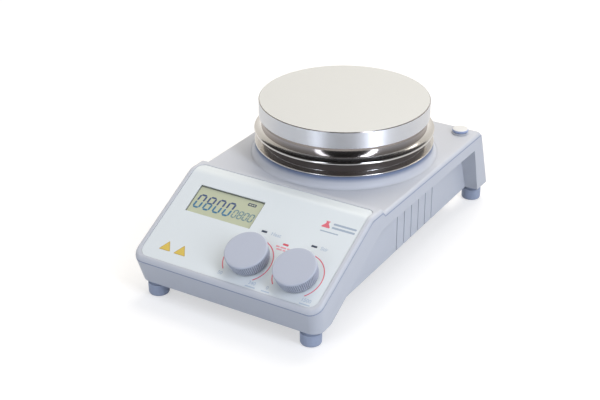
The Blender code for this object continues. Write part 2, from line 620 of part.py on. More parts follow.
def make_knob_set(name, x, up):
    """Rotary encoder on the board, its nut, and the shaft and knob that turn together."""
    where = (x, up, 0)
    body_top = -3.9 * MM
    body_size = (13 * MM, 13 * MM, body_top - BOARD_TOP - GAP)
    body = place(name + "_encoder", box_mesh(name + "_encoder", body_size),
                 (x, up, body_top - body_size[2] / 2), PANEL)
    bushing = cylinder_mesh(name + "_bushing", 4.6 * MM, 8 * MM, 24)
    combine(body, place(name + "_bushing", bushing, (x, up, body_top + 2.6 * MM), PANEL,
                        cutter=True), "UNION")
    bore = cylinder_mesh(name + "_bore", 3.3 * MM, 12 * MM, 24)
    cut(body, place(name + "_bore", bore, (x, up, body_top + 3 * MM), PANEL, cutter=True))
    finish(body, "steel")
    nut = cylinder_mesh(name + "_nut", 6.6 * MM, 2.0 * MM, 6)
    nut = place(name + "_nut", nut, (x, up, GAP + 1.0 * MM), PANEL)
    hole = cylinder_mesh(name + "_nut_hole", 4.9 * MM, 6 * MM, 24)
    cut(nut, place(name + "_nut_hole", hole, where, PANEL, cutter=True))
    finish(nut, "brass")
    shaft = [(0, 8.6 * MM), (2.6 * MM, 8.6 * MM), (3.0 * MM, 8.2 * MM), (3.0 * MM, -6.2 * MM),
             (0, -6.2 * MM)]
    finish(turned(name + "_shaft", shaft, where, PANEL, steps=20), "steel")
    inner = KNOB_HEIGHT - 3.1 * MM
    knob = [(0, KNOB_HEIGHT)] + arc((KNOB_RADIUS - 1.5 * MM, KNOB_HEIGHT - 1.5 * MM),
                                    1.5 * MM, 90, 0, 3) + [
        (KNOB_BASE_RADIUS, 0.6 * MM), (10 * MM, 0.6 * MM), (10 * MM, 3.6 * MM),
        (3.3 * MM, 3.6 * MM), (3.3 * MM, inner), (0, inner)]
    finish(turned(name + "_knob", knob, where, PANEL, steps=40), "knob")


# Electronics and rear fittings --------------------------------------------------------
def make_power_supply():
    board_top = 23.6 * MM
    board = box_mesh("power_board", (104 * MM, 66 * MM, 1.6 * MM))
    finish(place("power_board", board, (0, -43 * MM, board_top - 0.8 * MM)), "board")
    pieces = (
        ("transformer", (38, 34, 26), (-28, -45), "black"),
        ("triac_heatsink", (8, 48, 28), (36, -43), "steel"),
    )
    for name, size, (x, y), slot in pieces:
        size = [value * MM for value in size]
        mesh = box_mesh(name, size, 0.8 * MM, 1)
        z = board_top + GAP + size[2] / 2
        finish(place(name, mesh, (x * MM, y * MM, z)), slot)
    low = BODY_BOTTOM
    height = board_top - 1.6 * MM - GAP - low
    carrier = place("board_carrier", box_mesh("board_carrier", (104 * MM, 66 * MM, height)),
                    (0, -43 * MM, low + height / 2))
    window = box_mesh("carrier_window", (92 * MM, 54 * MM, 2 * height))
    cut(carrier, place("carrier_window", window, (0, -43 * MM, low + height / 2), cutter=True))
    finish(carrier, "white")


def make_inlet():
    """Three-pin appliance inlet with a fuse drawer under it."""
    flange = box_mesh("inlet_socket", (32 * MM, 2.5 * MM, 37 * MM), 0.6 * MM, 1)
    y = REAR_PANEL_Y + GAP + 1.25 * MM
    inlet = place("inlet_socket", flange, (INLET_X, y, REAR_FITTING_Z))
    body = box_mesh("inlet_body", (28 * MM, 22 * MM, 32 * MM))
    combine(inlet, place("inlet_body", body, (INLET_X, y - 11.5 * MM, REAR_FITTING_Z),
                         cutter=True), "UNION")
    face = y + 1.25 * MM
    depth = 16 * MM
    socket_z = REAR_FITTING_Z + 5.5 * MM
    socket = box_mesh("inlet_opening", (24.4 * MM, 2 * depth, 16.6 * MM), 1.5 * MM, 1)
    cut(inlet, place("inlet_opening", socket, (INLET_X, face, socket_z), cutter=True))
    drawer_z = REAR_FITTING_Z - 10.5 * MM
    drawer_depth = 15 * MM
    slot = box_mesh("drawer_slot", (22.6 * MM, 2 * drawer_depth, 8.6 * MM))
    cut(inlet, place("drawer_slot", slot, (INLET_X, face, drawer_z), cutter=True))
    finish(inlet, "black")
    length = drawer_depth - GAP + 1.2 * MM
    drawer = box_mesh("fuse_drawer", (22 * MM, length, 8 * MM), 0.4 * MM, 1)
    finish(place("fuse_drawer", drawer, (INLET_X, face + 1.2 * MM - length / 2, drawer_z)),
           "black")
    for name, dx, dz in (("earth", 0, 2.0), ("line", 7, -2.0), ("neutral", -7, -2.0)):
        pin = box_mesh("inlet_pin", (2 * MM, 13.5 * MM, 4 * MM), 0.5 * MM, 1)
        where = (INLET_X + dx * MM, face - depth + GAP + 6.75 * MM, socket_z + dz * MM)
        finish(place("inlet_pin_" + name, pin, where), "steel")


def make_power_switch():
    y = REAR_PANEL_Y + GAP + 1.0 * MM
    frame = place("switch_frame", box_mesh("switch_frame", (17 * MM, 2 * MM, 23 * MM),
                                           0.5 * MM, 1), (SWITCH_X, y, REAR_FITTING_Z))
    body = box_mesh("switch_body", (13.4 * MM, 14 * MM, 19.4 * MM))
    combine(frame, place("switch_body", body, (SWITCH_X, y - 7.5 * MM, REAR_FITTING_Z),
                         cutter=True), "UNION")
    well = box_mesh("switch_well", (10.4 * MM, 20 * MM, 16.4 * MM))
    cut(frame, place("switch_well", well, (SWITCH_X, y, REAR_FITTING_Z), cutter=True))
    finish(frame, "black")
    # The rocker pivots near the panel; in the on position its upper half is pressed in.
    pivot = place("rocker_pivot", None, (SWITCH_X, y - 2.5 * MM, REAR_FITTING_Z))
    half = 7.0 * MM
    section = [(-6.5 * MM, -2.0 * MM), (-6.5 * MM, 2.0 * MM), (2.8 * MM, half),
               (3.9 * MM, half - 1.2 * MM), (2.0 * MM, 0.0), (3.9 * MM, 1.2 * MM - half),
               (2.8 * MM, -half)]
    rocker = outline_mesh("power_rocker", section, 9.6 * MM, SIDE_VIEW)
    rocker = place("power_rocker", rocker, parent=pivot)
    rocker.rotation_euler.x = math.radians(ROCKER_SWING / 2)
    finish(rocker, "black")


def make_probe_socket():
    y = REAR_PANEL_Y + GAP
    profile = [(0, -5.5 * MM), (5.6 * MM, -5.5 * MM), (5.6 * MM, 3.5 * MM), (8.6 * MM, 3.5 * MM),
               (9.2 * MM, 2.9 * MM), (9.2 * MM, 0), (7.0 * MM, 0), (7.0 * MM, -12 * MM),
               (0, -12 * MM)]
    socket = turned("probe_socket", profile, (PROBE_X, y, REAR_FITTING_Z), steps=24)
    socket.rotation_euler.x = math.radians(-90)
    return finish(socket, "steel")


def make_rod_socket():
    collar = DECK_TOP + GAP
    bore = 5.2 * MM
    floor = DECK_TOP - 8.4 * MM
    stem = 4.2 * MM
    socket = [(0, floor), (bore, floor), (bore, collar + 0.8 * MM), (6.8 * MM, collar + 0.8 * MM),
              (7.2 * MM, collar + 0.4 * MM), (7.2 * MM, collar), (6.3 * MM, collar),
              (6.3 * MM, DECK_TOP - 10.2 * MM), (0, DECK_TOP - 10.2 * MM)]
    finish(turned("rod_socket", socket, (SOCKET_X, SOCKET_Y, 0), steps=24), "housing")
    low = collar + 0.8 * MM + GAP
    top = low + 2.4 * MM
    cap = [(0, top)] + arc((5.7 * MM, top - 0.8 * MM), 0.8 * MM, 90, 0, 2) + [
        (6.5 * MM, low), (4.8 * MM, low), (4.8 * MM, low - stem), (0, low - stem)]
    finish(turned("rod_socket_cap", cap, (SOCKET_X, SOCKET_Y, 0), steps=24), "overlay")


# Assembly -----------------------------------------------------------------------------
clear_scene()
PARTS = new_collection("magnetic_stirrer")
CUTTERS = new_collection("cutters")
PANEL = place("panel_plane", None, (0, PANEL_FOOT_Y, PANEL_FOOT_Z))
PANEL.rotation_euler.x = PANEL_ANGLE

make_lower_housing()
make_top_cover()
make_control_overlay()
make_feet()
make_base_plate()
make_heating_plate()
make_heat_shield()
make_heater()
make_drive()
make_rotor()
make_control_board()
for knob_name, (knob_x, knob_up) in KNOBS.items():
    make_knob_set(knob_name, knob_x, knob_up)
make_power_supply()
make_inlet()
make_power_switch()
make_probe_socket()
make_rod_socket()
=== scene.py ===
import math

import bmesh
import bpy
from mathutils import Matrix, Vector


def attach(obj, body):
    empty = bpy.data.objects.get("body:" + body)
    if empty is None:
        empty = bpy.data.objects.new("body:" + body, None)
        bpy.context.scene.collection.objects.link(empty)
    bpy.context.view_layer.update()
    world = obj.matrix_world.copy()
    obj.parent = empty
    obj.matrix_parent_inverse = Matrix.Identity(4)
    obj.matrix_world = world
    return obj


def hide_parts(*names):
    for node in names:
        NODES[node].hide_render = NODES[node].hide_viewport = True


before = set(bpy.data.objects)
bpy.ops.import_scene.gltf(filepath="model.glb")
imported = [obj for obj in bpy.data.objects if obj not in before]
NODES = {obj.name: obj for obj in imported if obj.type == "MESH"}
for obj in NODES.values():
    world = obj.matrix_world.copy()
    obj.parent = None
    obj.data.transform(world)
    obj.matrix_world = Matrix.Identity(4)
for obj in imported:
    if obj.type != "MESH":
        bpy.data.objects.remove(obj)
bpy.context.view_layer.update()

# Hotplate magnetic stirrer: fine shapes, finishes, light and camera for the CAD frame.
# MM turns millimetres into metres; a value or a list without it is in millimetres.

MM = 0.001

# Heating head
PLATE_Y = 30.8 * MM
PLATE_RADIUS = 67.5
PLATE_TOP, PLATE_BOTTOM = 115.0, 101.3
AXIS = (0, PLATE_Y)
DARK_REFLECTION_LEVEL = 93.0 * MM                  # the shield's neck carries a painted dark reflection above this
ROUND_STEPS = 224

# Sloped panel and its film
PANEL_ANGLE = math.radians(27.16)
PANEL_FOOT = (0.0, -141.53 * MM, 35.7 * MM)
PANEL_LENGTH = 83.9 * MM                # along the slope, up to the bend
PANEL_BEND = 12.0 * MM
PANEL_LEVEL = PANEL_FOOT[2] + PANEL_LENGTH * math.sin(PANEL_ANGLE)
BEND_Y = PANEL_FOOT[1] + PANEL_LENGTH * math.cos(PANEL_ANGLE)
BEND_REACH = PANEL_BEND * math.tan(PANEL_ANGLE / 2)
ON_PANEL = Matrix.Translation(PANEL_FOOT) @ Matrix.Rotation(PANEL_ANGLE, 4, "X")
OVERLAY_BACK = -57.0 * MM
OVERLAY_HALF_WIDTH = 76.1 * MM
FILM_GROWTH = 0.04 * MM
FILM_THICKNESS = 0.8 * MM
FILM_CORNERS = (7.0 * MM, 5.0 * MM)     # front and back
KNOB_HOLE_RADIUS = 5.2
LED_CLEARANCE = 0.15

# Display, knobs and lamps, as distances across and up the slope
DISPLAY_X = (-62.6, -4.5)
DISPLAY_UP = (46.7, 72.0)
DISPLAY_FACE = -1.4
KNOBS = {"heat": (10.1, 22.6), "stir": (51.7, 21.2)}
KNOB_TOP_RADIUS, KNOB_BASE_RADIUS, KNOB_HEIGHT = 16.4, 15.3, 12.0
KNOB_ROUNDING = 1.2
FLUTES, FLUTE_STEPS, FLUTE_DEPTH = 66, 8, 0.85
FLUTED_BANDS = (1, 15)                  # rows of the knob's skin that hold the flutes
LEDS = {"heat_led": (7.9, 48.1), "stir_led": (50.4, 47.9), "hot_surface_led": (29.4, 42.5)}
LED_SIZE = (4.4, 1.4)
FONT_SIZE_TO_HEIGHT = 1.38              # font size over the height of a capital

# Feet and rod socket
FEET = {"front_left": (-66.9, -130.7), "front_right": (66.9, -130.7),
        "rear_left": (-66.9, 134.1), "rear_right": (66.9, 134.1)}
SOCKET = (66.0 * MM, 107.0 * MM)
CAP_TOP_LEVEL = 73.75 * MM              # the painted shade on the plug's side ends here

# Seam between housing and cover
SEAM_DROP = 2.8 * MM                    # below the film's face
SEAM_HALF_WIDTH, SEAM_FRONT, SEAM_BACK = 80.3 * MM, -144.8 * MM, 119.48 * MM
SEAM_FRONT_CORNER, SEAM_BACK_CORNER = 8.5 * MM, 4.0 * MM
SEAM_STEPS = 180
SIDE_DRAFT, FRONT_DRAFT, REAR_DRAFT = 4.0 / 55.7, 5.6 / 19.9, 26.8 / 57.8
COVER_STEP = (-52.0 * MM, -47.9 * MM)   # where the cover steps down to the deck
DECK_SEAM, FRONT_SEAM = 67.1 * MM, 31.5 * MM
# A dark strip in the seam paints the shade in the gap between housing and cover.
SEAM_SHADE_PROUD, SEAM_SHADE_HALF_HEIGHT, SEAM_SHADE_DEPTH = 0.06 * MM, 0.36 * MM, 1.0 * MM


# Materials ----------------------------------------------------------------------------
def linear(red, green, blue):
    """A screen colour from 0 to 255 as a linear colour."""
    values = [v / 255 for v in (red, green, blue)]
    return tuple(v / 12.92 if v <= 0.04045 else ((v + 0.055) / 1.055) ** 2.4 for v in values)


def shaded(colour, factor):
    return tuple(min(v * factor, 1.0) for v in colour) + (1.0,)


def noise(nodes, links, coords, scale, detail, stretch=None):
    source = coords.outputs["Object"]
    if stretch:
        mapping = nodes.new("ShaderNodeMapping")
        mapping.inputs["Scale"].default_value = stretch
        links.new(source, mapping.inputs["Vector"])
        source = mapping.outputs["Vector"]
    texture = nodes.new("ShaderNodeTexNoise")
    texture.inputs["Scale"].default_value = scale
    texture.inputs["Detail"].default_value = detail
    links.new(source, texture.inputs["Vector"])
    return texture.outputs["Fac"]


def map_range(nodes, links, value, low, high, start, end):
    node = nodes.new("ShaderNodeMapRange")
    node.interpolation_type = "SMOOTHSTEP"
    for key, number in (("From Min", low), ("From Max", high), ("To Min", start),
                        ("To Max", end)):
        node.inputs[key].default_value = number
    links.new(value, node.inputs["Value"])
    return node.outputs["Result"]


def vector_math(nodes, links, operation, first, second=None):
    """A vector node fed by a socket and by another socket or a fixed vector."""
    node = nodes.new("ShaderNodeVectorMath")
    node.operation = operation
    links.new(first, node.inputs[0])
    if isinstance(second, tuple):
        node.inputs[1].default_value = second
    elif second is not None:
        links.new(second, node.inputs[1])
    return node


def surface(name, colour, roughness, metallic=0.0, mottle=0.03, mottle_scale=60.0,
            grain=0.0, grain_scale=2500.0, grain_depth=0.00002, stretch=None, coat=0.0,
            rough_spread=0.06, specular=0.5, turned_marks=0.0):
    """A finish with slight tone changes, slight gloss changes and a fine grain."""
    material = bpy.data.materials.new(name)
    material.use_nodes = True
    nodes, links = material.node_tree.nodes, material.node_tree.links
    shader = nodes["Principled BSDF"]
    coords = nodes.new("ShaderNodeTexCoord")
    tone = nodes.new("ShaderNodeMix")
    tone.data_type = "RGBA"
    tone.inputs["A"].default_value = shaded(colour, 1 - mottle)
    tone.inputs["B"].default_value = shaded(colour, 1 + mottle)
    links.new(noise(nodes, links, coords, mottle_scale, 4.0), tone.inputs["Factor"])
    links.new(tone.outputs["Result"], shader.inputs["Base Color"])
    gloss = nodes.new("ShaderNodeMapRange")
    gloss.inputs["To Min"].default_value = max(roughness - rough_spread, 0.02)
    gloss.inputs["To Max"].default_value = min(roughness + rough_spread, 1.0)
    links.new(noise(nodes, links, coords, mottle_scale * 3, 2.0), gloss.inputs["Value"])
    links.new(gloss.outputs["Result"], shader.inputs["Roughness"])
    if grain:
        bump = nodes.new("ShaderNodeBump")
        bump.inputs["Strength"].default_value = grain
        bump.inputs["Distance"].default_value = grain_depth
        links.new(noise(nodes, links, coords, grain_scale, 2.0, stretch), bump.inputs["Height"])
        links.new(bump.outputs["Normal"], shader.inputs["Normal"])
    if turned_marks:
        tangent = nodes.new("ShaderNodeTangent")
        tangent.direction_type = "RADIAL"
        tangent.axis = "Z"
        links.new(tangent.outputs["Tangent"], shader.inputs["Tangent"])
        shader.inputs["Anisotropic"].default_value = turned_marks
        shader.inputs["Anisotropic Rotation"].default_value = 0.25
    shader.inputs["Metallic"].default_value = metallic
    shader.inputs["Specular IOR Level"].default_value = specular
    shader.inputs["Coat Weight"].default_value = coat
    shader.inputs["Coat Roughness"].default_value = 0.08
    return material


def moulded(name):
    """The pale plastic of the casing."""
    return surface(name, linear(204, 206, 211), 0.42, grain=0.35, grain_scale=1800,
                   mottle=0.012)


def segment(name, *colour):
    """A liquid-crystal figure behind glass."""
    return surface(name, linear(*colour), 0.35, mottle=0.12, mottle_scale=180)


def ink(name, *colour):
    """Print on the film."""
    return surface(name, linear(*colour), 0.40, mottle=0.04, mottle_scale=200)


HOUSING = moulded("moulded_plastic")
OVERLAY = surface("printed_film", linear(228, 233, 233), 0.30, mottle=0.008,
                  rough_spread=0.02)
COVER = moulded("moulded_cover")
KNOB = surface("knob_plastic", linear(189, 193, 204), 0.50, grain=0.5, grain_scale=2200,
               mottle=0.012)
# Painted shade for the valleys between the knob's flutes.
FLUTE_SHADE = surface("knob_flute_shade", linear(126, 134, 154), 0.55, grain=0.3, grain_scale=2200,
                mottle=0.012)
# Painted shade for the seam between housing and cover.
SEAM_SHADE = surface("seam_shade_strip", linear(148, 158, 184), 0.60, grain=0.3, grain_scale=1500)
# Painted shade for the side of the socket plug, below its pale top.
CAP_SIDE_SHADE = surface("plug_side_shade", linear(160, 174, 206), 0.40, grain=0.3, grain_scale=1800)
RUBBER = surface("foot_rubber", linear(166, 175, 194), 0.62, grain=0.4, grain_scale=1500)
COATING = surface("plate_coating", linear(215, 214, 208), 0.40, grain=0.4, grain_scale=2600,
                  mottle=0.008)
TURNED = surface("turned_aluminium", linear(240, 242, 246), 0.46, metallic=1.0, mottle=0.01,
                 rough_spread=0.02, turned_marks=0.9)
STEEL = surface("polished_steel", linear(228, 225, 221), 0.16, metallic=1.0, mottle=0.01,
                rough_spread=0.01, turned_marks=0.6)
# Darkened steel as a painted dark reflection, on the plate's top chamfer and the shield's neck.
STEEL_DARK_REFLECTION = surface("steel_painted_dark_reflection", linear(162, 155, 151), 0.15, metallic=1.0, mottle=0.03,
                 rough_spread=0.01, turned_marks=0.6)
# Painted shade on the heating plate's underside, which the shield's neck reflects.
SCALE = surface("underside_painted_shade", linear(52, 50, 52), 0.55, mottle=0.08, mottle_scale=90)
WALL = surface("dark_wall", linear(66, 57, 53), 0.44, mottle=0.06, rough_spread=0.03)
ZINC = surface("zinc_steel", linear(176, 180, 184), 0.38, metallic=1.0, mottle=0.06,
               mottle_scale=120, grain=0.3, grain_scale=500, stretch=(1, 12, 1))
BLACK = surface("black_plastic", linear(38, 39, 42), 0.45, grain=0.4, grain_scale=1600)
DARK_PAINT = surface("motor_paint", linear(58, 60, 64), 0.40, grain=0.2, grain_scale=800)
BOARD = surface("solder_mask", linear(32, 110, 66), 0.35, mottle=0.15, mottle_scale=220)
BRASS = surface("brass", linear(206, 172, 96), 0.28, metallic=1.0, mottle=0.05)
NICKEL = surface("nickel", linear(188, 186, 182), 0.22, metallic=1.0, mottle=0.04)
FIBRE = surface("ceramic_fibre", linear(226, 220, 204), 0.95, grain=0.8, grain_scale=400,
                grain_depth=0.0002, mottle=0.06)
WHITE = surface("white_plastic", linear(232, 231, 227), 0.42, grain=0.3, grain_scale=1800)
GLASS = surface("display_glass", linear(198, 202, 171), 0.32, coat=1.0, mottle=0.03,
                mottle_scale=25)
DIGIT = segment("display_segment", 70, 124, 156)
DARK_DIGIT = segment("display_dark_segment", 78, 94, 128)
# Painted shade round the edge of the display, where its recess throws shadow.
DISPLAY_EDGE_SHADE = surface("display_edge_shade", linear(122, 124, 108), 0.45, mottle=0.1, mottle_scale=150)
PALE_DIGIT = segment("display_pale_segment", 122, 148, 152)
LAMP = surface("lamp_window", linear(72, 80, 96), 0.20, mottle=0.08, mottle_scale=300)
RED_LAMP = surface("red_lamp_window", linear(228, 102, 114), 0.25, mottle=0.08,
                   mottle_scale=300)
RED_INK = ink("red_ink", 228, 116, 128)
GREY_INK = ink("grey_ink", 190, 202, 214)
YELLOW_INK = ink("yellow_ink", 226, 196, 92)
MARK_INK = ink("mark_ink", 168, 180, 194)
PINK_INK = ink("pink_ink", 236, 160, 168)
OCHRE_INK = ink("ochre_ink", 198, 164, 74)
DARK_INK = ink("dark_ink", 74, 84, 104)

# Painted shade on the cover's boss: darker high up on its wall, under the shield's flange.
BOSS_PAINTED_SHADE = linear(108, 122, 152)
BOSS_FADE_HEIGHT = (74.0 * MM, 79.4 * MM)
BOSS_FADE_RADIUS = (76.0 * MM, 79.0 * MM)


# Shape helpers ------------------------------------------------------------------------
def piece(name, mesh, material, body="housing", replaces=()):
    """Put a finished mesh in the scene and tie it to the body and nodes it stands for."""
    obj = bpy.data.objects.new(name, mesh)
    bpy.context.scene.collection.objects.link(obj)
    mesh.materials.clear()
    for part in material if isinstance(material, (list, tuple)) else [material]:
        mesh.materials.append(part)
    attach(obj, body)
    if replaces:
        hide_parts(*replaces)
    return obj


def mesh_of(name, shape, angle=30):
    """The finished bmesh as a smooth mesh with hard edges over the angle."""
    mesh = bpy.data.meshes.new(name)
    bmesh.ops.recalc_face_normals(shape, faces=shape.faces)
    shape.to_mesh(mesh)
    shape.free()
    mesh.shade_smooth()
    mesh.set_sharp_from_angle(angle=math.radians(angle))
    return mesh


def round_off(points, radius, steps=4, closed=False):
    """Replace the corners of a profile with arcs of about the given radius."""
    out = []
    count = len(points)
    for i, point in enumerate(points):
        if not closed and i in (0, count - 1):
            out.append(point)
            continue
        here = Vector(point[:2])
        before, after = Vector(points[i - 1][:2]), Vector(points[(i + 1) % count][:2])
        reach = min(radius, (before - here).length * 0.45, (after - here).length * 0.45)
        start = here + (before - here).normalized() * reach
        end = here + (after - here).normalized() * reach
        for k in range(steps + 1):
            t = k / steps
            out.append(tuple((1 - t) ** 2 * start + 2 * t * (1 - t) * here + t * t * end))
    return out


def turned(name, profile, centre=(0, 0), segments=160, closed=False, angle=30,
           matrix=None, radius_at=None):
    """Skin of (radius, height) points turned about a vertical axis.

    radius_at(angle, radius, height) may return a changed radius, as for a fluted side.
    """
    shape = bmesh.new()
    rings = []
    for radius, height in profile:
        if radius < 1e-6:
            rings.append([shape.verts.new((0, 0, height * MM))])
            continue
        ring = []
        for i in range(segments):
            turn = math.tau * i / segments
            r = radius_at(turn, radius, height) if radius_at else radius
            ring.append(shape.verts.new((r * math.cos(turn) * MM, r * math.sin(turn) * MM,
                                         height * MM)))
        rings.append(ring)
    pairs = list(zip(rings, rings[1:]))
    if closed:
        pairs.append((rings[-1], rings[0]))
    for low, high in pairs:
        for i in range(segments):
            j = (i + 1) % segments
            if len(low) == 1 and len(high) == 1:
                continue
            if len(low) == 1:
                shape.faces.new((low[0], high[j], high[i]))
            elif len(high) == 1:
                shape.faces.new((low[i], low[j], high[0]))
            else:
                shape.faces.new((low[i], low[j], high[j], high[i]))
    mesh = mesh_of(name, shape, angle)
    mesh.transform(Matrix.Translation((centre[0], centre[1], 0)) if matrix is None else matrix)
    return mesh


def on_panel(x, up, height=0.0):
    """Matrix to a place on the panel: across it, up its slope and above its face."""
    return ON_PANEL @ Matrix.Translation((x * MM, up * MM, height * MM))


def polygons_mesh(name, polygons, matrix, thickness=0.06):
    """Flat outlines as one thin mesh; an outline inside another one is a hole."""
    curve = bpy.data.curves.new(name, "CURVE")
    curve.dimensions = "2D"
    curve.fill_mode = "BOTH"
    curve.extrude = thickness * MM / 2
    for outline in polygons:
        spline = curve.splines.new("POLY")
        spline.points.add(len(outline) - 1)
        for point, (x, y) in zip(spline.points, outline):
            point.co = (x * MM, y * MM, 0, 1)
        spline.use_cyclic_u = True
    return curve_mesh(name, curve, matrix)


def curve_mesh(name, curve, matrix):
    """The filled curve as a mesh; the curve itself is used up."""
    drawn = bpy.data.objects.new(name, curve)
    bpy.context.scene.collection.objects.link(drawn)
    graph = bpy.context.evaluated_depsgraph_get()
    mesh = bpy.data.meshes.new_from_object(drawn.evaluated_get(graph))
    bpy.data.objects.remove(drawn)
    bpy.data.curves.remove(curve)
    shape = bmesh.new()
    shape.from_mesh(mesh)
    bmesh.ops.remove_doubles(shape, verts=shape.verts, dist=0.000002)
    shape.to_mesh(mesh)
    shape.free()
    mesh.transform(matrix)
    return mesh


def words_mesh(name, lines, matrix, thickness=0.05):
    """Text as one mesh; each line is (text, x, up, height of a capital)."""
    shape = bmesh.new()
    for text, x, up, height in lines:
        curve = bpy.data.curves.new(name, "FONT")
        curve.body = text
        curve.size = height * FONT_SIZE_TO_HEIGHT * MM
        curve.align_x = "CENTER"
        curve.align_y = "CENTER"
        curve.extrude = thickness * MM / 2
        curve.offset = 0.03 * height * MM / 2
        mesh = curve_mesh(name, curve, matrix @ Matrix.Translation((x * MM, up * MM, 0)))
        shape.from_mesh(mesh)
        bpy.data.meshes.remove(mesh)
    mesh = bpy.data.meshes.new(name)
    shape.to_mesh(mesh)
    shape.free()
    return mesh


def arc_points(x, y, radius, start, end, count):
    """Points on a circle between two angles in degrees, both ends included."""
    return [(x + radius * math.cos(math.radians(start + (end - start) * i / count)),
             y + radius * math.sin(math.radians(start + (end - start) * i / count)))
            for i in range(count + 1)]


def rounded_box(x0, x1, y0, y1, radius, back_radius=None, count=8):
    """Box outline with rounded corners; back_radius is for the two corners at y1."""
    back = radius if back_radius is None else back_radius
    return (arc_points(x1 - radius, y0 + radius, radius, -90, 0, count)
            + arc_points(x1 - back, y1 - back, back, 0, 90, count)
            + arc_points(x0 + back, y1 - back, back, 90, 180, count)
            + arc_points(x0 + radius, y0 + radius, radius, 180, 270, count))


def soften(node, material, sharp_angle=30, width=0.5, segments=3, clamp=False):
    """Round the edges of a CAD node with modifiers and give it a finish."""
    obj = NODES[node]
    weld = obj.modifiers.new("weld", "WELD")
    weld.merge_threshold = 0.000005
    flat = obj.modifiers.new("flat", "DECIMATE")
    flat.decimate_type = "DISSOLVE"
    flat.angle_limit = math.radians(0.5)
    bevel = obj.modifiers.new("edges", "BEVEL")
    bevel.limit_method = "ANGLE"
    bevel.angle_limit = math.radians(sharp_angle)
    bevel.width = width * MM
    bevel.segments = segments
    bevel.harden_normals = True
    bevel.use_clamp_overlap = clamp
    normals = obj.modifiers.new("normals", "WEIGHTED_NORMAL")
    normals.weight = 80
    normals.keep_sharp = False
    paint(node, material)


def paint_boss_shade(material, node):
    """Paint shade on the boss wall under the flange, where little light reaches."""
    nodes, links = material.node_tree.nodes, material.node_tree.links
    colour_input = nodes["Principled BSDF"].inputs["Base Color"]
    plain = colour_input.links[0].from_socket
    coords = nodes.new("ShaderNodeTexCoord")
    centre = NODES[node].matrix_world.inverted() @ Vector((0, PLATE_Y, 0))
    offset = vector_math(nodes, links, "SUBTRACT", coords.outputs["Object"], tuple(centre))
    level = vector_math(nodes, links, "MULTIPLY", offset.outputs["Vector"], (1, 1, 0))
    radius = vector_math(nodes, links, "LENGTH", level.outputs["Vector"])
    tone = nodes.new("ShaderNodeMix")
    tone.data_type = "RGBA"
    tone.inputs["A"].default_value = shaded(BOSS_PAINTED_SHADE, 1)
    links.new(plain, tone.inputs["B"])
    height = nodes.new("ShaderNodeSeparateXYZ")
    links.new(offset.outputs["Vector"], height.inputs["Vector"])
    shares = (map_range(nodes, links, radius.outputs["Value"], *BOSS_FADE_RADIUS, 0.0, 1.0),
              map_range(nodes, links, height.outputs["Z"], *BOSS_FADE_HEIGHT, 1.0, 0.0))
    larger = nodes.new("ShaderNodeMath")
    larger.operation = "MAXIMUM"
    for share, entry in zip(shares, larger.inputs):
        links.new(share, entry)
    links.new(larger.outputs["Value"], tone.inputs["Factor"])
    links.new(tone.outputs["Result"], colour_input)


def paint(node, material):
    """Give a CAD node one finish."""
    mesh = NODES[node].data
    mesh.materials.clear()
    mesh.materials.append(material)


# Housing ------------------------------------------------------------------------------
soften("lower_housing", HOUSING, width=0.8, clamp=True)
soften("top_cover", COVER, sharp_angle=38, width=0.3, segments=2)
# The cover's boss gets painted shade under the shield's flange.
paint_boss_shade(COVER, "top_cover")


def overlay_height(y):
    """Height of the overlay's face at y, along the slope, the bend and the level top."""
    if y <= BEND_Y - BEND_REACH * math.cos(PANEL_ANGLE):
        return PANEL_FOOT[2] + (y - PANEL_FOOT[1]) * math.tan(PANEL_ANGLE)
    centre = BEND_Y + BEND_REACH
    if y >= centre:
        return PANEL_LEVEL
    return PANEL_LEVEL - PANEL_BEND + math.sqrt(PANEL_BEND ** 2 - (y - centre) ** 2)


def parting_height(y):
    """Height of the line between the lower housing and the top cover."""
    if y < COVER_STEP[0]:
        return overlay_height(y) - SEAM_DROP
    level = overlay_height(COVER_STEP[0]) - SEAM_DROP
    share = min((y - COVER_STEP[0]) / (COVER_STEP[1] - COVER_STEP[0]), 1.0)
    return level + (DECK_SEAM - level) * share


def wall_half_width(y, z):
    """Half width of the housing's walls, which lean outward towards the top."""
    deck = SEAM_HALF_WIDTH + SIDE_DRAFT * (z - DECK_SEAM)
    front = SEAM_HALF_WIDTH + SIDE_DRAFT * (z - FRONT_SEAM)
    start = SEAM_FRONT + SEAM_FRONT_CORNER
    share = min(max((y - start) / (BEND_Y - start), 0.0), 1.0)
    return front + (deck - front) * share


def seam_loop(inset, rise):
    """Points round the housing at the seam, moved inward by inset and up by rise."""
    half = SEAM_HALF_WIDTH - inset
    front = SEAM_FRONT + FRONT_DRAFT * max(-rise, 0.0) + inset
    back = SEAM_BACK - REAR_DRAFT * rise - inset
    plan = rounded_box(-half, half, front, back, SEAM_FRONT_CORNER - inset,
                       SEAM_BACK_CORNER - inset)
    points = []
    for here, there in zip(plan, plan[1:] + plan[:1]):
        is_side = abs(there[1] - here[1]) > SEAM_HALF_WIDTH
        count = SEAM_STEPS if is_side else 1
        for i in range(count):
            x, y = (a + (b - a) * i / count for a, b in zip(here, there))
            z = parting_height(y) + rise
            points.append((x * wall_half_width(y, z) / SEAM_HALF_WIDTH, y, z))
    return points


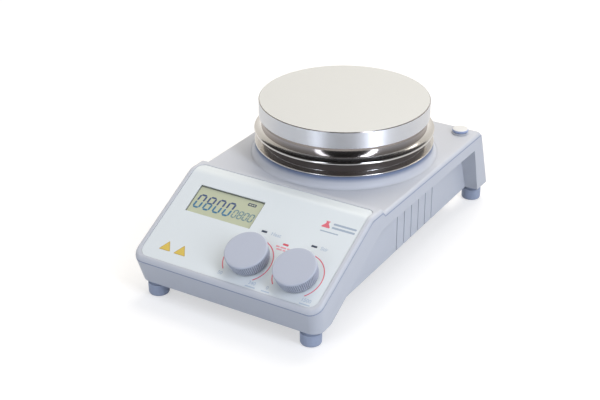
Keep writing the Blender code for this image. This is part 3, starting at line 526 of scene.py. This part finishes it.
def make_seam_shade():
    """Thin dark strip in the seam between housing and cover: painted shade for the shadow in the
    gap.
    """
    shape = bmesh.new()
    loops = [seam_loop(-SEAM_SHADE_PROUD, -SEAM_SHADE_HALF_HEIGHT), seam_loop(-SEAM_SHADE_PROUD, SEAM_SHADE_HALF_HEIGHT),
             seam_loop(SEAM_SHADE_DEPTH, SEAM_SHADE_HALF_HEIGHT), seam_loop(SEAM_SHADE_DEPTH, -SEAM_SHADE_HALF_HEIGHT)]
    rings = [[shape.verts.new(point) for point in loop] for loop in loops]
    for ring, other in zip(rings, rings[1:] + rings[:1]):
        for i in range(len(ring)):
            j = (i + 1) % len(ring)
            shape.faces.new((ring[i], ring[j], other[j], other[i]))
    piece("seam_shade_strip", mesh_of("seam_shade_strip", shape), SEAM_SHADE)


make_seam_shade()


# Heating head -------------------------------------------------------------------------
def make_heating_plate():
    """Turned body, coated top and an underside in painted shade, with a fine chamfer at the top
    edge that carries a painted dark reflection.
    """
    side = [(PLATE_RADIUS - 0.4, PLATE_BOTTOM + 0.1), (PLATE_RADIUS, PLATE_BOTTOM + 0.5),
            (PLATE_RADIUS, PLATE_TOP - 0.55),
            (PLATE_RADIUS - 0.45, PLATE_TOP - 0.1), (PLATE_RADIUS - 0.6, PLATE_TOP - 0.1),
            (0, PLATE_TOP - 0.1)]
    under = [(0, PLATE_BOTTOM), (PLATE_RADIUS - 0.5, PLATE_BOTTOM),
             (PLATE_RADIUS - 0.4, PLATE_BOTTOM + 0.1), (0, PLATE_BOTTOM + 0.1)]
    mesh = turned("plate_underside", under, AXIS, ROUND_STEPS)
    piece("plate_underside", mesh, SCALE, replaces=["heating_plate"])
    mesh = turned("plate_body", side, AXIS, ROUND_STEPS)
    piece("plate_body", mesh, [TURNED, STEEL_DARK_REFLECTION], replaces=["heating_plate"])
    # The top chamfer carries the painted dark reflection.
    for face in mesh.polygons:
        face.material_index = int(face.center.z > (PLATE_TOP - 0.5) * MM)
    top = [(PLATE_RADIUS - 0.6, PLATE_TOP - 0.1), (PLATE_RADIUS - 0.7, PLATE_TOP - 0.02),
           (PLATE_RADIUS - 1.1, PLATE_TOP), (0, PLATE_TOP)]
    mesh = turned("plate_coating", top, AXIS, ROUND_STEPS)
    piece("plate_coating", mesh, COATING, replaces=["heating_plate"])


def make_heat_shield():
    """Spun ring: neck, flared upper flange, recessed dark wall and lower flange."""
    neck, rim, wall, inner = 62.5, 71.3, 64.7, 61.2
    top, flare_top, band_top, band_low, bottom = PLATE_BOTTOM - 0.4, 99.0, 89.4, 81.3, 79.9
    flare_reach, flare_drop = 8.3, 7.8
    flare = []
    steps = 14
    for i in range(steps + 1):
        t = math.radians(90 * i / steps)
        flare.append((rim - 0.5 - flare_reach * math.cos(t),
                      flare_top - flare_drop * math.sin(t)))
    upper = [(inner, top), (neck, top)] + flare + round_off(
        [(rim - 0.5, 91.2), (rim, 90.7), (rim, 90.0), (rim - 0.5, 89.7), (wall, 89.5)], 0.3)[1:]
    upper += [(wall - 0.05, band_top), (inner, band_top)]
    mesh = turned("shield_upper", upper, AXIS, ROUND_STEPS, closed=True)
    piece("shield_upper", mesh, [STEEL, STEEL_DARK_REFLECTION], replaces=["heat_shield"])
    # The neck and the top of the flare carry the painted dark reflection.
    for face in mesh.polygons:
        face.material_index = int(face.center.z > DARK_REFLECTION_LEVEL)
    lower = [(inner, bottom), (rim - 0.6, bottom)] + round_off(
        [(rim - 0.6, bottom), (rim - 0.2, 80.2), (rim - 0.2, 80.7), (rim - 0.7, 81.0),
         (wall, 81.2)], 0.3)[1:] + [(wall - 0.05, band_low), (inner, band_low)]
    mesh = turned("shield_lower", lower, AXIS, ROUND_STEPS, closed=True)
    piece("shield_lower", mesh, STEEL, replaces=["heat_shield"])
    band = [(wall, band_low), (wall, band_top), (inner, band_top), (inner, band_low)]
    mesh = turned("shield_wall", band, AXIS, ROUND_STEPS, closed=True)
    piece("shield_wall", mesh, WALL, replaces=["heat_shield"])


make_heating_plate()
make_heat_shield()


# Feet, plug of the rod socket ---------------------------------------------------------
def make_feet():
    """Pads with a narrower neck, hollow round their screws."""
    profile = [(2.4, 12.2), (6.1, 12.2), (6.1, 9.6), (7.9, 9.3), (8.0, 8.8), (7.9, 1.2),
               (7.4, 0.2), (6.9, 0.0), (4.4, 0.0), (4.4, 5.0), (2.4, 5.0)]
    profile = round_off(profile, 0.4, 3, closed=True)
    for place, (x, y) in FEET.items():
        mesh = turned("pad_" + place, profile, (x * MM, y * MM), 64, closed=True)
        piece("pad_" + place, mesh, RUBBER, replaces=["foot_" + place])


def make_socket_plug():
    """Plug with a pale top and painted shade on its side, and the collar it stands in."""
    cap = [(0, 74.1)] + round_off([(3.0, 74.1), (6.5, 73.9), (6.5, 71.7), (4.8, 71.7),
                                   (4.8, 67.5)], 0.9, 5) + [(0, 67.5)]
    mesh = turned("plug_cap", cap, SOCKET, 72)
    piece("plug_cap", mesh, [WHITE, CAP_SIDE_SHADE], "socket_plug",
          ["rod_socket_cap"])
    # The side below the top takes the painted shade.
    for face in mesh.polygons:
        face.material_index = int(face.center.z < CAP_TOP_LEVEL)
    low, top = 60.1, 71.4
    collar = [(0, 61.9), (5.2, 61.9), (5.2, top), (6.7, top), (7.2, top - 0.5), (7.2, 70.6),
              (6.3, 70.6), (6.3, low), (0, low)]
    mesh = turned("plug_collar", collar, SOCKET, 72)
    piece("plug_collar", mesh, HOUSING, replaces=["rod_socket"])


make_feet()
make_socket_plug()


# Control panel ------------------------------------------------------------------------
def to_plan(x, up):
    """A place on the slope as plan coordinates in metres."""
    return x * MM, PANEL_FOOT[1] + up * MM * math.cos(PANEL_ANGLE)


def make_overlay():
    """Bent film with a window, knob holes and lamp holes, draped over the panel."""
    half, grow = OVERLAY_HALF_WIDTH + FILM_GROWTH, FILM_GROWTH
    loops = [rounded_box(-half, half, PANEL_FOOT[1] - grow, OVERLAY_BACK + grow,
                         *FILM_CORNERS)]
    x0, x1 = (v * MM for v in DISPLAY_X)
    y0, y1 = to_plan(0, DISPLAY_UP[0])[1], to_plan(0, DISPLAY_UP[1])[1]
    loops.append(rounded_box(x0, x1, y0, y1, 0.5 * MM, count=3))
    for x, up in KNOBS.values():
        ring = arc_points(x, up, KNOB_HOLE_RADIUS, 0, 360, 40)[:-1]
        loops.append([to_plan(px, py) for px, py in ring])
    for x, up in LEDS.values():
        half_x, half_up = (side / 2 + LED_CLEARANCE for side in LED_SIZE)
        loops.append([to_plan(x + sx * half_x, up + sy * half_up)
                      for sx, sy in ((-1, -1), (1, -1), (1, 1), (-1, 1))])
    curve = bpy.data.curves.new("film", "CURVE")
    curve.dimensions = "2D"
    curve.fill_mode = "BOTH"
    for loop in loops:
        spline = curve.splines.new("POLY")
        spline.points.add(len(loop) - 1)
        for point, (x, y) in zip(spline.points, loop):
            point.co = (x, y, 0, 1)
        spline.use_cyclic_u = True
    flat = curve_mesh("film", curve, Matrix.Identity(4))
    shape = bmesh.new()
    shape.from_mesh(flat)
    bpy.data.meshes.remove(flat)
    bmesh.ops.dissolve_limit(shape, angle_limit=0.01, verts=shape.verts, edges=shape.edges)
    first, last = BEND_Y - BEND_REACH * math.cos(PANEL_ANGLE), BEND_Y + BEND_REACH
    steps = 12
    for i in range(steps + 1):
        y = first + (last - first) * i / steps
        bmesh.ops.bisect_plane(shape, geom=shape.verts[:] + shape.edges[:] + shape.faces[:],
                               plane_co=(0, y, 0), plane_no=(0, 1, 0), dist=0.0000001)
    for vert in shape.verts:
        vert.co.z = overlay_height(vert.co.y)
    bmesh.ops.recalc_face_normals(shape, faces=shape.faces)
    if sum(face.normal.z for face in shape.faces) < 0:
        bmesh.ops.reverse_faces(shape, faces=shape.faces)
    mesh = bpy.data.meshes.new("panel_film")
    shape.to_mesh(mesh)
    shape.free()
    mesh.shade_smooth()
    film = piece("panel_film", mesh, OVERLAY, replaces=["control_overlay"])
    thick = film.modifiers.new("thickness", "SOLIDIFY")
    thick.thickness = FILM_THICKNESS
    thick.offset = -1
    edge = film.modifiers.new("edges", "BEVEL")
    edge.limit_method = "ANGLE"
    edge.angle_limit = math.radians(60)
    edge.width = 0.15 * MM
    edge.segments = 2
    edge.harden_normals = True
    normals = film.modifiers.new("normals", "WEIGHTED_NORMAL")
    normals.weight = 100


def knob_profile():
    """(radius, height) points of a knob that widens towards its rounded top."""
    side = [(4.0, 0.6), (KNOB_BASE_RADIUS - 0.5, 0.6), (KNOB_BASE_RADIUS, 1.1)]
    rows = 14
    for i in range(1, rows + 1):
        t = i / rows
        side.append((KNOB_BASE_RADIUS + (KNOB_TOP_RADIUS - KNOB_BASE_RADIUS) * t,
                     1.1 + (KNOB_HEIGHT - KNOB_ROUNDING - 1.1) * t))
    rows = 8
    for i in range(1, rows + 1):
        t = math.radians(90 * i / rows)
        side.append((KNOB_TOP_RADIUS - KNOB_ROUNDING + KNOB_ROUNDING * math.cos(t),
                     KNOB_HEIGHT - KNOB_ROUNDING + KNOB_ROUNDING * math.sin(t)))
    for r in (12.0, 9.0, 6.0, 3.0):
        side.append((r, KNOB_HEIGHT))
    side.append((0, KNOB_HEIGHT))
    return side


def fluted(turn, radius, height):
    """Fine ribs on the knob's side that fade out under the rounded top."""
    if radius < KNOB_BASE_RADIUS - 0.5:
        return radius
    fade = min(max((KNOB_HEIGHT - 0.8 - height) / 1.2, 0.0), 1.0)
    wave = abs(math.sin(turn * FLUTES / 2)) ** 0.8
    return radius - FLUTE_DEPTH * (1 - wave) * fade


def make_knobs():
    """Fluted grips with painted shade in the valleys between the flutes."""
    for name, (x, up) in KNOBS.items():
        around = FLUTES * FLUTE_STEPS
        mesh = turned(name + "_grip", knob_profile(), segments=around, angle=40,
                      matrix=on_panel(x, up), radius_at=fluted)
        piece(name + "_grip", mesh, [KNOB, FLUTE_SHADE], name + "_dial",
              [name + "_knob"])
        # Faces in the flute valleys take the painted shade.
        for face in mesh.polygons:
            band, step = divmod(face.index, around)
            in_valley = step % FLUTE_STEPS in (0, FLUTE_STEPS - 1)
            face.material_index = int(in_valley and FLUTED_BANDS[0] <= band <= FLUTED_BANDS[1])


def arc_band(x, y, inner, outer, start, end, count=72):
    """Outline of a stretch of ring between two angles in degrees."""
    return (arc_points(x, y, outer, start, end, count)
            + arc_points(x, y, inner, end, start, count))


def make_printing():
    """Scales, numbers and marks printed on the film."""
    lift = on_panel(0, 0, 0.03)
    arcs = [arc_band(x, up, 18.65, 19.45, start, 222) for x, up, start in
            ((8.7, 21.9, -50), (51.1, 21.8, -48))]
    piece("print_scales", polygons_mesh("print_scales", arcs, lift), RED_INK)
    words = [("50", -5.8, 5.2, 2.9), ("340", 22.0, 4.8, 2.9), ("0", 34.8, 4.8, 2.9),
             ("1500", 67.0, 4.6, 2.9), ("Heat", 18.2, 48.0, 3.1), ("Stir", 58.8, 47.8, 3.1)]
    piece("print_words", words_mesh("print_words", words, lift), GREY_INK)
    bars = [rounded_box(17.8, 26.2, 1.1, 2.0, 0.3), rounded_box(31.4, 38.2, 1.1, 2.0, 0.3),
            rounded_box(63.0, 71.6, 0.9, 1.8, 0.3)]
    piece("print_bars", polygons_mesh("print_bars", bars, lift), GREY_INK)
    maker = [rounded_box(55.0, 73.8, 66.1, 67.7, 0.7), rounded_box(55.0, 73.8, 69.3, 70.9, 0.7),
             rounded_box(47.6, 62.5, 61.9, 62.8, 0.4)]
    piece("print_maker_bars", polygons_mesh("print_maker_bars", maker, lift), MARK_INK)
    flask = [(48.3, 71.4), (51.9, 71.4), (51.9, 70.9), (51.3, 70.7), (51.3, 69.2),
             (53.6, 66.3), (53.2, 65.6), (47.0, 65.6), (46.6, 66.3), (48.9, 69.2),
             (48.9, 70.7), (48.3, 70.9)]
    piece("print_flask", polygons_mesh("print_flask", [flask], lift), RED_INK)
    notes = [rounded_box(x0, x1, up, up + 1.2, 0.35) for x0, x1, up in
             ((22.8, 25.8, 38.9), (26.6, 31.4, 38.9), (32.2, 35.4, 38.9),
              (24.2, 28.8, 36.8), (29.6, 31.9, 36.8), (32.7, 35.0, 36.8))]
    piece("print_notes", polygons_mesh("print_notes", notes, lift), PINK_INK)
    inner, edges = [], []
    for corners in (((-62.9, 8.9), (-52.8, 9.1), (-57.8, 17.6)),
                    ((-49.6, 8.8), (-39.2, 8.8), (-44.4, 17.6))):
        middle = [sum(c[k] for c in corners) / 3 for k in (0, 1)]
        shrunk = [tuple(m + 0.84 * (v - m) for v, m in zip(c, middle)) for c in corners]
        inner.append(round_off(shrunk, 0.5, 3, True))
        edges += [round_off(corners, 0.8, 3, True), round_off(shrunk, 0.5, 3, True)]
    piece("print_triangles", polygons_mesh("print_triangles", inner, lift), YELLOW_INK)
    piece("print_triangle_edges", polygons_mesh("print_triangle_edges", edges, lift), OCHRE_INK)


SEGMENTS = {"0": "abcdef", "8": "abcdefg"}


def digit_polygons(text, x, up, height, width, pitch, stroke, slant):
    """Seven-segment figures as closed outlines."""
    middle = height / 2
    gap = stroke * 0.14
    half = stroke / 2
    bars = {
        "a": ("h", height - half), "g": ("h", middle), "d": ("h", half),
        "f": ("v", 0.0, middle, height - half), "b": ("v", 1.0, middle, height - half),
        "e": ("v", 0.0, half, middle), "c": ("v", 1.0, half, middle),
    }
    outlines = []
    for i, figure in enumerate(text):
        left = x + i * pitch
        for key in SEGMENTS[figure]:
            bar = bars[key]
            if bar[0] == "h":
                a, b, y = half + gap, width - half - gap, bar[1]
                points = [(a, y), (a + half, y - half), (b - half, y - half), (b, y),
                          (b - half, y + half), (a + half, y + half)]
            else:
                px = half + bar[1] * (width - stroke)
                a, b = bar[2] + gap, bar[3] - gap
                points = [(px, a), (px + half, a + half), (px + half, b - half), (px, b),
                          (px - half, b - half), (px - half, a + half)]
            outlines.append([(left + px + slant * py, up + py) for px, py in points])
    return outlines


def make_display():
    """Figures, a small mark and a dark border of painted shade round the face of the display, for
    the shadow of its recess.
    """
    face = on_panel(0, 0, DISPLAY_FACE + 0.05)
    figures = digit_polygons("0800", -60.2, 51.8, 13.2, 6.6, 8.75, 1.5, 0.12)
    mesh = polygons_mesh("display_figures", figures, face, 0.08)
    piece("display_figures", mesh, [DIGIT, DARK_DIGIT])
    middle = (face @ Vector((0, 58.4 * MM, 0))).z
    for polygon in mesh.polygons:
        polygon.material_index = int(polygon.center.z > middle)
    small = digit_polygons("0800", -25.7, 52.4, 7.6, 4.1, 4.75, 0.95, 0.12)
    mesh = polygons_mesh("display_small_figures", small, face, 0.08)
    piece("display_small_figures", mesh, PALE_DIGIT)
    mark = [rounded_box(-17.7, -10.5, 66.2, 68.7, 0.7), rounded_box(-16.8, -15.0, 66.9, 68.0, 0.2),
            rounded_box(-14.6, -13.2, 66.9, 68.0, 0.2), rounded_box(-12.8, -11.4, 66.9, 68.0, 0.2)]
    mesh = polygons_mesh("display_mark", mark, face, 0.08)
    piece("display_mark", mesh, DARK_INK)
    (x0, x1), (y0, y1) = DISPLAY_X, DISPLAY_UP
    border = [rounded_box(x0 - 0.3, x1 + 0.3, y0 - 0.3, y1 + 0.3, 0.3),
              rounded_box(x0 + 0.6, x1 - 1.0, y0 + 0.7, y1 - 0.8, 1.0)]
    mesh = polygons_mesh("display_edge_shade", border, face, 0.08)
    piece("display_edge_shade", mesh, DISPLAY_EDGE_SHADE)


def make_lamps():
    """Small lamp windows that show through the film."""
    finishes = {"heat_led": LAMP, "stir_led": LAMP, "hot_surface_led": RED_LAMP}
    for name, (x, up) in LEDS.items():
        outline = rounded_box(-LED_SIZE[0] / 2, LED_SIZE[0] / 2, -LED_SIZE[1] / 2,
                              LED_SIZE[1] / 2, 0.35)
        mesh = polygons_mesh(name + "_window", [outline], on_panel(x, up, -0.45), 1.0)
        window = piece(name + "_window", mesh, finishes[name], replaces=[name])
        edge = window.modifiers.new("edges", "BEVEL")
        edge.limit_method = "ANGLE"
        edge.angle_limit = math.radians(50)
        edge.width = 0.12 * MM
        edge.segments = 2


make_overlay()
make_knobs()
make_printing()
make_display()
make_lamps()

# Finishes of the CAD nodes that stay as they are ---------------------------------------
FINISHES = {
    ZINC: ["heating_element", "element_clamp", "motor_bracket", "magnet_carrier", "base_plate",
           "triac_heatsink", "heat_encoder", "stir_encoder"]
    + ["plate_post_%d" % i for i in range(1, 5)] + ["base_screw_%d" % i for i in range(1, 5)]
    + ["foot_screw_" + place for place in FEET],
    STEEL: ["temperature_sensor", "motor_shaft", "heat_shaft", "stir_shaft", "probe_socket"],
    BLACK: ["inlet_socket", "fuse_drawer", "switch_frame", "power_rocker"],
    DARK_PAINT: ["stir_motor", "transformer"],
    BOARD: ["control_board", "power_board"],
    BRASS: ["heat_nut", "stir_nut", "inlet_pin_earth", "inlet_pin_line", "inlet_pin_neutral"],
    NICKEL: ["drive_magnet_left", "drive_magnet_right"],
    FIBRE: ["insulation_disc"],
    WHITE: ["board_carrier"],
    GLASS: ["display_module"],
}
for finish_material, names in FINISHES.items():
    for node_name in names:
        paint(node_name, finish_material)
for node_name in ("inlet_socket", "fuse_drawer", "switch_frame", "power_rocker"):
    soften(node_name, BLACK, width=0.35, segments=2)


# Floor, light and camera ---------------------------------------------------------------
WARM = (1.0, 0.95, 0.87)
COOL = (0.88, 0.94, 1.08)
# Each lamp has a place, the height it aims at above the origin, a size, a power and a colour.
STUDIO_LAMPS = {
    "overhead": ((-0.1, 0.85, 1.45), 0.05, (1.1, 1.1), 13.8, WARM),
    "right_strip": ((1.28, -0.42, 0.95), 0.1, (0.28, 1.8), 14.5, COOL),
    "front_strip": ((-0.14, -1.40, 0.95), 0.1, (0.26, 1.8), 5, COOL),
}
SKY_STRENGTH = 0.85
SKY_HORIZON = (0.90, 0.95, 1.05, 1)
SKY_TOP, SKY_TOP_LEVEL = (0.38, 0.38, 0.38, 1), 0.7
# The sky is dark in a wedge towards DARK_SIDE and brighter, by channel, on the other side.
DARK_SIDE = (0.525, -0.851, 0)
WEDGE_EDGE = (0.78, 0.93)
WEDGE_TOP = (0.90, 0.99)
WEDGE_LEVEL = 0.09
BEHIND_EDGE = (-0.9, 0.1)
BEHIND = (1.52, 1.42, 1.26)
FLOOR_SIZE = 30.0
FLOOR_BELOW = 0.0002
FLOOR_SEEN, FLOOR_BOUNCE = (0.572, 0.56, 0.545, 1), (0.49, 0.53, 0.60, 1)
FLOOR_GLOW_HIDDEN, FLOOR_GLOW_SEEN, FLOOR_GLOW_MIRRORED = 0.02, 0.52, 0.2
CAMERA_PLACE = (0.48108, -0.81559, 0.52663)
CAMERA_AZIMUTH, CAMERA_ELEVATION, CAMERA_ROLL = 31.69, 27.31, -0.25
CAMERA_LENS, CAMERA_SENSOR = 80.595, 36


def floor_material():
    """Pale matt white that glows for the camera, and bounces a cooler light."""
    white = surface("white_floor", (0.52, 0.52, 0.525), 0.9, mottle=0.004, specular=0.0)
    nodes, links = white.node_tree.nodes, white.node_tree.links
    shader = nodes["Principled BSDF"]
    path = nodes.new("ShaderNodeLightPath")
    glow = nodes.new("ShaderNodeMapRange")
    glow.inputs["To Min"].default_value = FLOOR_GLOW_HIDDEN
    glow.inputs["To Max"].default_value = FLOOR_GLOW_SEEN
    links.new(path.outputs["Is Camera Ray"], glow.inputs["Value"])
    shine = nodes.new("ShaderNodeMath")
    shine.operation = "MULTIPLY_ADD"
    shine.inputs[1].default_value = FLOOR_GLOW_MIRRORED
    links.new(path.outputs["Is Glossy Ray"], shine.inputs[0])
    links.new(glow.outputs["Result"], shine.inputs[2])
    links.new(shine.outputs["Value"], shader.inputs["Emission Strength"])
    shader.inputs["Emission Color"].default_value = (1, 1, 1, 1)
    bounce = nodes.new("ShaderNodeMix")
    bounce.data_type = "RGBA"
    bounce.inputs["A"].default_value = FLOOR_SEEN
    bounce.inputs["B"].default_value = FLOOR_BOUNCE
    links.new(path.outputs["Is Diffuse Ray"], bounce.inputs["Factor"])
    links.new(bounce.outputs["Result"], shader.inputs["Base Color"])
    return white


def make_floor():
    shape = bmesh.new()
    bmesh.ops.create_grid(shape, x_segments=4, y_segments=4, size=FLOOR_SIZE)
    mesh = bpy.data.meshes.new("floor")
    shape.to_mesh(mesh)
    shape.free()
    floor = bpy.data.objects.new("floor", mesh)
    bpy.context.scene.collection.objects.link(floor)
    floor.location.z = -FLOOR_BELOW
    mesh.materials.append(floor_material())


def area_light(name, place, target_height, size, power, colour):
    light = bpy.data.lights.new(name, "AREA")
    light.shape = "RECTANGLE"
    light.size, light.size_y = size
    light.energy = power
    light.color = colour
    lamp = bpy.data.objects.new(name, light)
    bpy.context.scene.collection.objects.link(lamp)
    lamp.location = place
    aim = Vector((0, 0, target_height)) - Vector(place)
    lamp.rotation_euler = aim.to_track_quat("-Z", "Y").to_euler()


def make_world():
    """Soft sky, brightest at the horizon, with a dark wedge behind the camera."""
    world = bpy.data.worlds.new("studio")
    bpy.context.scene.world = world
    world.use_nodes = True
    nodes, links = world.node_tree.nodes, world.node_tree.links
    back = nodes["Background"]
    back.inputs["Strength"].default_value = SKY_STRENGTH
    direction = nodes.new("ShaderNodeTexCoord").outputs["Generated"]
    split = nodes.new("ShaderNodeSeparateXYZ")
    links.new(direction, split.inputs["Vector"])
    sky = nodes.new("ShaderNodeValToRGB")
    low_end, high_end = sky.color_ramp.elements
    low_end.position, low_end.color = 0.0, SKY_HORIZON
    high_end.position, high_end.color = SKY_TOP_LEVEL, SKY_TOP
    links.new(split.outputs["Z"], sky.inputs["Fac"])
    level = vector_math(nodes, links, "MULTIPLY", direction, (1, 1, 0))
    unit = vector_math(nodes, links, "NORMALIZE", level.outputs["Vector"])
    facing = vector_math(nodes, links, "DOT_PRODUCT", unit.outputs["Vector"],
                         DARK_SIDE).outputs["Value"]
    side = map_range(nodes, links, facing, *WEDGE_EDGE, 0.0, 1.0)
    low = map_range(nodes, links, split.outputs["Z"], *WEDGE_TOP, 1.0, 0.0)
    both = nodes.new("ShaderNodeMath")
    both.operation = "MULTIPLY"
    links.new(side, both.inputs[0])
    links.new(low, both.inputs[1])
    dark = map_range(nodes, links, both.outputs["Value"], 0.0, 1.0, 1.0, WEDGE_LEVEL)
    behind = nodes.new("ShaderNodeCombineXYZ")
    for channel, strong in zip("XYZ", BEHIND):
        value = map_range(nodes, links, facing, *BEHIND_EDGE, strong, 1.0)
        links.new(value, behind.inputs[channel])
    tinted = vector_math(nodes, links, "MULTIPLY", sky.outputs["Color"],
                         behind.outputs["Vector"])
    mixed = vector_math(nodes, links, "SCALE", tinted.outputs["Vector"])
    links.new(dark, mixed.inputs["Scale"])
    links.new(mixed.outputs["Vector"], back.inputs["Color"])


def make_camera():
    azimuth, elevation, roll = (math.radians(v) for v in (CAMERA_AZIMUTH, CAMERA_ELEVATION,
                                                          CAMERA_ROLL))
    ahead = Vector((-math.sin(azimuth) * math.cos(elevation),
                    math.cos(azimuth) * math.cos(elevation), -math.sin(elevation)))
    right = Vector((math.cos(azimuth), math.sin(azimuth), 0))
    up = right.cross(ahead)
    right, up = (math.cos(roll) * right + math.sin(roll) * up,
                 math.cos(roll) * up - math.sin(roll) * right)
    data = bpy.data.cameras.new("camera")
    data.sensor_width = CAMERA_SENSOR
    data.lens = CAMERA_LENS
    data.clip_start = 0.01
    camera = bpy.data.objects.new("camera", data)
    bpy.context.scene.collection.objects.link(camera)
    turn = Matrix((right, up, -ahead)).transposed().to_4x4()
    camera.matrix_world = Matrix.Translation(CAMERA_PLACE) @ turn
    bpy.context.scene.camera = camera


make_floor()
make_world()
for lamp_name, lamp_values in STUDIO_LAMPS.items():
    area_light(lamp_name, *lamp_values)
make_camera()
bpy.context.scene.view_settings.view_transform = "Standard"

bpy.context.view_layer.update()
